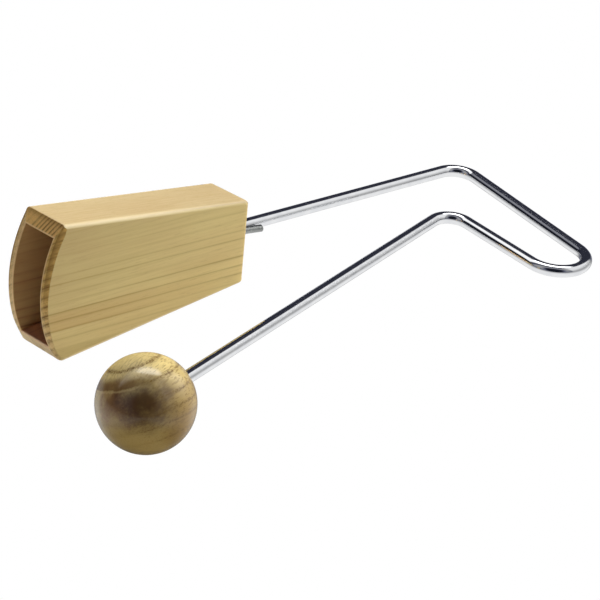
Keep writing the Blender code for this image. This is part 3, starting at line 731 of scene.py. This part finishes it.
rod = {
    "radius": 0.0035,
    "corners": (  # metres, from inside the box to inside the ball
        (-0.031978, 0.065613, 0.026741),
        (0.019364, 0.065613, 0.020874),
        (0.174899, 0.051266, 0.009618),
        (0.152442, -0.075522, 0.002909),
        (0.119317, -0.071401, 0.005376),
        (0.126284, 0.015004, 0.010501),
        (-0.155896, -0.046589, 0.025255),
    ),
    "bends": (0.0120, 0.0137, 0.01755, 0.01755, 0.0120),
    "sides": 64,
    "tones": ((0.70, 0.71, 0.73), (0.77, 0.775, 0.785)), "hazeScale": 180.0,
    "roughness": (0.035, 0.10), "rubScales": (300, 900, 900),
    "bump": 0.12, "bumpDistance": 0.0003, "bumpScale": 60.0,
}


def straightRun(a, b, step):
    # even points between a and b, without the two ends
    count = max(2, math.ceil(np.linalg.norm(b - a) / step))
    return a + (b - a) * np.linspace(0, 1, count, endpoint=False)[1:, None]


def bentPath(corners, bends, straightStep=0.004, turnStep=math.radians(3)):
    # straight runs joined by arcs: each arc starts radius * tan(turn / 2) before its corner
    corners = np.array(corners)
    path = [corners[:1]]
    for before, corner, after, radius in zip(corners, corners[1:], corners[2:], bends):
        u = (corner - before) / np.linalg.norm(corner - before)
        v = (after - corner) / np.linalg.norm(after - corner)
        turn = math.acos(np.clip(u @ v, -1, 1))
        w = (v - u * (u @ v)) / math.sin(turn)
        start = corner - u * radius * math.tan(turn / 2)
        t = np.linspace(0, turn, max(4, math.ceil(turn / turnStep)))[:, None]
        arc = start + radius * (np.sin(t) * u + (1 - np.cos(t)) * w)
        path.append(straightRun(path[-1][-1], arc[0], straightStep))
        path.append(arc)
    path.append(straightRun(path[-1][-1], corners[-1], straightStep))
    path.append(corners[-1:])
    path = np.concatenate(path)
    keep = np.concatenate([[True], np.linalg.norm(np.diff(path, axis=0), axis=1) > 1e-6])
    return path[keep]


def tubePoints(path, radius, sides, up=(0.0, 0.0, 1.0)):
    # circle round the path: path + radius * (cos * side + sin * upright)
    tangent = np.gradient(path, axis=0)
    tangent /= np.linalg.norm(tangent, axis=1, keepdims=True)
    side = np.cross(tangent, up)
    side /= np.linalg.norm(side, axis=1, keepdims=True)
    upright = np.cross(side, tangent)
    turn = np.linspace(0, 2 * math.pi, sides, endpoint=False)
    ring = np.cos(turn)[None, :, None] * side[:, None] + np.sin(turn)[None, :, None] * upright[:, None]
    return path[:, None] + radius * ring


def chromeMaterial(name):
    # bright plating with a faint haze, fine rub marks and a slight unevenness
    material, tree, shader = newMaterial(name)
    place = objectPlace(tree)
    haze = noise(tree, place, rod["hazeScale"], 3.0)
    rub = fibreNoise(tree, place, rod["rubScales"], 4.0)
    tree.links.new(mix(tree, span(tree, haze, 0.3, 0.7), *rod["tones"]), shader.inputs["Base Color"])
    tree.links.new(span(tree, rub, 0.35, 0.8, *rod["roughness"]), shader.inputs["Roughness"])
    setBump(tree, shader, noise(tree, place, rod["bumpScale"], 2.0), rod["bump"], rod["bumpDistance"])
    shader.inputs["Metallic"].default_value = 1.0
    return material


rodPath = bentPath(rod["corners"], rod["bends"])
rodPoints = tubePoints(rodPath, rod["radius"], rod["sides"])
rodFaces = tubeFaces(len(rodPath), rod["sides"])
rodPiece = makePiece("rod_polished", rodPoints, rodFaces, chromeMaterial("rod_chrome"))
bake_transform(rodPiece)
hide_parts("spring_rod")
print("rod made:", len(rodPath), "rings")


# rattle: stem, plate and rivets

steel = {
    "stainScale": 90.0, "stainShade": 0.72, "brushScales": (60, 2500, 2500), "brushRough": 0.16,
    "bump": 0.15, "bumpDistance": 0.0001,
}


def steelMaterial(name, tone, roughness):
    # brushed along X, with darker stains
    material, tree, shader = newMaterial(name)
    place = objectPlace(tree)
    brush = fibreNoise(tree, place, steel["brushScales"], 4.0, 0.6)
    stain = noise(tree, place, steel["stainScale"], 4.0)
    stained = tuple(c * steel["stainShade"] for c in tone)
    tree.links.new(mix(tree, span(tree, stain, 0.4, 0.75), tone, stained), shader.inputs["Base Color"])
    dull = roughness + steel["brushRough"]
    tree.links.new(span(tree, brush, 0.3, 0.8, roughness, dull), shader.inputs["Roughness"])
    setBump(tree, shader, brush, steel["bump"], steel["bumpDistance"])
    shader.inputs["Metallic"].default_value = 1.0
    return material


stem = {
    "y": -0.0029, "radius": 0.0021, "outside": 0.009,
    "bent": 0.0143, "droop": math.radians(6.6), "bend": 0.012,
    "tabY": -0.0019, "tabHalfHeight": 0.0045, "tabHalfThick": 0.0009, "tabEnd": -0.0595,
    "easeFrom": -0.046, "easeLength": 0.008,  # where the tab turns into the round stem
    "tabRound": 0.0025, "tabTip": 0.55,  # length of the tab's rounded end, and the height's share at its tip
    "chamfer": 0.0005, "step": 0.0012, "sides": 48,
}


def stemPoints():
    # a circle that flattens into a tab: half-axes and squareness ease from the round stem to the flat end
    reach, drop = stem["bent"] * math.cos(stem["droop"]), stem["bent"] * math.sin(stem["droop"])
    corners = [(stem["tabEnd"], 0.0, 0.0), (stem["outside"], 0.0, 0.0), (stem["outside"] + reach, 0.0, -drop)]
    line = bentPath(corners, [stem["bend"]], stem["step"])
    toTip = (line[-1] - line[-2]) / np.linalg.norm(line[-1] - line[-2])
    nearTip = line[-1] - np.array((1.2, 1.0, 0.9, 0.1, 0.0))[:, None] * stem["chamfer"] * toTip
    line = np.concatenate([line[:-1], nearTip])  # rows that keep the sawn end crisp
    t = np.clip((line[:, 0] - stem["easeFrom"]) / stem["easeLength"], 0, 1)
    ease = (t * t * (3 - 2 * t))[:, None]
    end = np.clip((line[:, :1] - line[0, 0]) / stem["tabRound"], 0, 1)
    taper = stem["tabTip"] + (1 - stem["tabTip"]) * np.sqrt(1 - (1 - end) ** 2)
    halfZ = stem["tabHalfHeight"] * (1 - ease) * taper + stem["radius"] * ease
    halfY = stem["tabHalfThick"] * (1 - ease) + stem["radius"] * ease
    fromTip = np.linalg.norm(line - line[-1], axis=1)[:, None]
    nose = 1 - stem["chamfer"] / stem["radius"] * np.clip(1 - fromTip / stem["chamfer"], 0, 1)
    power = 2 / (2 + 4 * (1 - ease))  # 1 is round, less is squarer
    turn = np.linspace(0, 2 * math.pi, stem["sides"], endpoint=False)[None]
    c, s = np.cos(turn), np.sin(turn)
    y = (stem["tabY"] * (1 - ease) + stem["y"] * ease) + halfY * nose * np.sign(c) * np.abs(c) ** power
    z = line[:, 2:3] + halfZ * nose * np.sign(s) * np.abs(s) ** power
    return boxToRow(np.broadcast_to(line[:, :1], y.shape), y, z)


stemGrid = stemPoints()
stemSteel = steelMaterial("stem_steel", (0.30, 0.31, 0.30), 0.20)
stemPiece = makePiece("stem_flattened", stemGrid, tubeFaces(len(stemGrid), stem["sides"]), stemSteel)
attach(stemPiece, "frame")
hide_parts("rattle_stem")

plateSteel = steelMaterial("plate_steel", (0.50, 0.50, 0.51), 0.30)
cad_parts["rattle_plate"].material_slots[0].material = plateSteel

plateRivet = {"head": 0.0013, "tail": 0.0010, "tailRadius": 0.0022, "shankRadius": 0.0012, "sides": 40}
looseRivet = {**plateRivet, "head": 0.0016, "tail": 0.0014}


def rivetPiece(node, material, rivet):
    # domed head on -Y, straight shank, upset tail: profile turned about the rivet's own line
    low, high = (np.array(corner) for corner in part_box(node))
    centre, half = (low + high) / 2, (high[1] - low[1]) / 2
    head, headRadius = rivet["head"], (high[0] - low[0]) / 2
    tail, tailRadius, shank = rivet["tail"], rivet["tailRadius"], rivet["shankRadius"]
    dome = (headRadius ** 2 + head ** 2) / (2 * head)
    swingUp = np.linspace(0.02, 2 * math.atan(head / headRadius), 9)
    soft = tail / 3
    q = np.linspace(0, math.pi / 2, 5)
    tailEdge = tailRadius - soft + soft * np.cos(q)
    radii = np.concatenate([dome * np.sin(swingUp), [shank, shank, tailRadius], tailEdge, [0.0001]])
    heights = np.concatenate([half - dome * (1 - np.cos(swingUp)), [half - head, tail - half, tail - half],
                              soft - half - soft * np.sin(q), [-half]])
    headward = (0.0, -1.0, 0.0)
    piece = closedTurning(node + "_turned", radii, heights, centre, headward, rivet["sides"], material)
    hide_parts(node)
    return piece


rivetSteel = steelMaterial("rivet_steel", (0.58, 0.57, 0.55), 0.24)
for node in ("plate_rivet_1", "plate_rivet_2"):
    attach(rivetPiece(node, rivetSteel, plateRivet), "frame")
for k in range(10):
    node = f"loose_rivet_{k + 1:02d}"
    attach(rivetPiece(node, rivetSteel, looseRivet), f"rivet_{k + 1:02d}")
print("rattle made")


# floor, light and camera

table = {
    "half": 12.0, "drop": 0.0002,
    "tone": 0.9, "roughness": 0.7, "glowTone": (1.0, 0.97, 0.92, 1.0), "glow": 0.16,
    "paper": 1.0,  # what the camera sees
    "shadeAt": (-0.179, -0.074, 0.0), "shadeTurn": (0.0, 0.0, math.radians(46.4)),
    "shadeFade": (0.085, 0.020), "shadeBehind": -0.12, "shadeTone": (1.0, 0.8, 0.5, 1.0), "shade": 0.10,
}


def mixShaders(tree, factor, a, b):
    return addNode(tree, "ShaderNodeMixShader", {0: factor, 1: a.outputs[0], 2: b.outputs[0]})


def tableMaterial(name):
    # lit paper that the camera sees as white; polished surfaces see through it,
    # apart from a soft shadow by the ball
    material, tree, shader = newMaterial(name)
    shader.inputs["Base Color"].default_value = (table["tone"],) * 3 + (1.0,)
    shader.inputs["Roughness"].default_value = table["roughness"]
    shader.inputs["Emission Color"].default_value = table["glowTone"]
    shader.inputs["Emission Strength"].default_value = table["glow"]
    rays = addNode(tree, "ShaderNodeLightPath").outputs
    white = addNode(tree, "ShaderNodeEmission", {"Color": (1.0, 1.0, 1.0, 1.0), "Strength": table["paper"]})
    paper = mixShaders(tree, rays["Is Camera Ray"], shader, white)
    spot = turnedPlace(tree, table["shadeAt"], table["shadeTurn"])
    parts = addNode(tree, "ShaderNodeSeparateXYZ", {0: spot}).outputs
    deep = calc(tree, "MAXIMUM", parts["X"], times(tree, parts["X"], table["shadeBehind"]))
    away = calc(tree, "SQRT", plus(tree, times(tree, deep, deep), times(tree, parts["Y"], parts["Y"])))
    shadow = span(tree, away, *table["shadeFade"])
    dim = addNode(tree, "ShaderNodeEmission", {"Color": table["shadeTone"], "Strength": table["shade"]})
    mirror = mixShaders(tree, shadow, addNode(tree, "ShaderNodeBsdfTransparent"), dim)
    seen = mixShaders(tree, rays["Is Glossy Ray"], paper, mirror)
    tree.links.new(seen.outputs[0], tree.nodes["Material Output"].inputs["Surface"])
    return material


square = np.array([(-1, -1, 0), (1, -1, 0), (1, 1, 0), (-1, 1, 0)]) * table["half"] - (0, 0, table["drop"])
floor = makePiece("table", square, [[0, 1, 2, 3]], tableMaterial("white_table"), smooth=False)

studio = {
    "dark": 0.045, "darkTint": (0.86, 0.91, 1.38), "tintFade": (0.0, 0.4),
    "lamps": (  # towards, cosines of the soft edge and of the core, strength
        ((0.26, 0.558, 0.788), (0.92, 0.97), 5.6),
        ((0.656, -0.023, 0.755), (0.92, 0.97), 4.3),
        ((0.937, -0.251, 0.242), (0.9, 0.97), 9.6),
    ),
}
east, north, upward = (1.0, 0.0, 0.0), (0.0, 1.0, 0.0), (0.0, 0.0, 1.0)
farSide, lampLong = (0.69, 0.724, 0.0), (-0.700, -0.587, 0.407)
# what polished surfaces see, as soft edges: a direction, the cosines where the edge starts and ends,
# and the values there where they aren't 0 and 1
mirrored = {
    "ceiling": (((-0.274, -0.613, 0.742), 0.20, 0.27), ((-0.2, 0.0, 1.0), 0.60, 0.68),
                (farSide, -0.10, 0.10), (east, 0.42, 0.02, 0.0, 1.3)),
    "wall": ((east, 0.05, 0.25), (upward, 0.0, 0.65, 0.43, 1.0)),
    "wallEdge": (0.13, -0.03), "wallBend": 0.60, "wallSlope": 0.95,  # slants back above the bend
    "dark": ((east, -0.4, 0.2, 0.014, 0.036),),
    "glow": (((-0.25, 0.68, 0.69), 0.95, 0.998, 0.0, 0.30),),
    "behind": ((farSide, -0.10, -0.45), (upward, 0.0, 0.5, 0.12, 0.40),
               ((-0.60, -0.63, 0.49), 0.95, 0.78)),  # a dark doorway
    "lampAxes": (((-0.643, 0.766, 0.000), 0.42), (lampLong, 0.23)),  # an oval lamp's half-axes
    "lampRim": (1.15, 0.80, 0.0, 6.6),  # shares of the half-axes, dark outside and bright inside
    "lampSides": (((0.312, 0.261, 0.914), 0.5, 0.6), (north, 0.54, 0.34), (lampLong, -0.20, 0.02, 0.10, 1.0)),
    "table": ((upward, -0.03, -0.5, 0.5, 1.03), (farSide, 0.5, 0.9, 1.0, 0.2)),
    "horizon": (0.0, -0.03),
}


def softEdges(tree, toward, edges):
    # product of soft edges, each easing along its own direction
    return times(tree, *(span(tree, dotWith(tree, toward, direction), *ease) for direction, *ease in edges))


def mirroredRoom(tree, toward):
    # the brightest of ceiling, wall, glow, far room and lamp above the horizon, and the table below it
    height = dotWith(tree, toward, upward)
    bend = calc(tree, "MAXIMUM", calc(tree, "SUBTRACT", height, mirrored["wallBend"]), 0.0)
    wallEdge = plus(tree, dotWith(tree, toward, north), times(tree, bend, mirrored["wallSlope"]))
    wall = times(tree, span(tree, wallEdge, *mirrored["wallEdge"]), softEdges(tree, toward, mirrored["wall"]))
    wall = plus(tree, wall, softEdges(tree, toward, mirrored["dark"]))
    scaled = [times(tree, dotWith(tree, toward, axis), 1 / half) for axis, half in mirrored["lampAxes"]]
    oval = calc(tree, "SQRT", plus(tree, *(times(tree, value, value) for value in scaled)))
    lamp = times(tree, span(tree, oval, *mirrored["lampRim"]), softEdges(tree, toward, mirrored["lampSides"]))
    others = (softEdges(tree, toward, mirrored[part]) for part in ("ceiling", "glow", "behind"))
    above = chain(tree, "MAXIMUM", wall, lamp, *others)
    under = softEdges(tree, toward, mirrored["table"])
    sunk = span(tree, height, *mirrored["horizon"])
    return plus(tree, times(tree, under, sunk), times(tree, above, calc(tree, "SUBTRACT", 1.0, sunk)))


def makeWorld(name):
    # soft lamps for matt surfaces, the mirrored room for polished ones, white for the camera
    world = bpy.data.worlds.new(name)
    world.use_nodes = True
    tree = world.node_tree
    toward = addNode(tree, "ShaderNodeTexCoord").outputs["Generated"]
    light = studio["dark"]
    for direction, edge, strength in studio["lamps"]:
        light = plus(tree, span(tree, dotWith(tree, toward, direction), *edge, 0.0, strength), light)
    rays = addNode(tree, "ShaderNodeLightPath").outputs
    glossy = rays["Is Glossy Ray"]
    total = plus(tree, times(tree, mirroredRoom(tree, toward), glossy),
                 times(tree, light, calc(tree, "SUBTRACT", 1.0, glossy)))
    total = calc(tree, "MAXIMUM", total, rays["Is Camera Ray"])
    tint = mix(tree, span(tree, total, *studio["tintFade"]), studio["darkTint"], (1.0, 1.0, 1.0))
    background = tree.nodes["Background"]
    tree.links.new(total, background.inputs["Strength"])
    tree.links.new(tint, background.inputs["Color"])
    return world


scene.world = makeWorld("studio")

view = {
    "place": (-0.763423, -0.795057, 0.626426),
    "yaw": math.radians(46.35465),
    "down": math.radians(29.37089),
    "roll": math.radians(-0.51805),
    "focal": 2345.26 / 600,  # in frame widths
    "sensor": 36.0,
    "clip": (0.05, 60.0),
}


def makeCamera(name):
    # looks along yaw and down, then rolls about that line
    yaw, down, roll = view["yaw"], view["down"], view["roll"]
    ahead = np.array((math.cos(down) * math.cos(yaw), math.cos(down) * math.sin(yaw), -math.sin(down)))
    level = np.array((math.sin(yaw), -math.cos(yaw), 0.0))
    below = np.cross(ahead, level)
    rightward = math.cos(roll) * level + math.sin(roll) * below
    downward = -math.sin(roll) * level + math.cos(roll) * below
    lens = bpy.data.cameras.new(name)
    lens.sensor_width = view["sensor"]
    lens.lens = view["sensor"] * view["focal"]
    lens.clip_start, lens.clip_end = view["clip"]
    camera = bpy.data.objects.new(name, lens)
    scene.collection.objects.link(camera)
    axes = np.stack([rightward, -downward, -ahead, view["place"]], 1)
    camera.matrix_world = Matrix([*axes.tolist(), (0.0, 0.0, 0.0, 1.0)])
    return camera


scene.camera = makeCamera("camera")
scene.view_settings.view_transform = "Standard"
print("studio set")
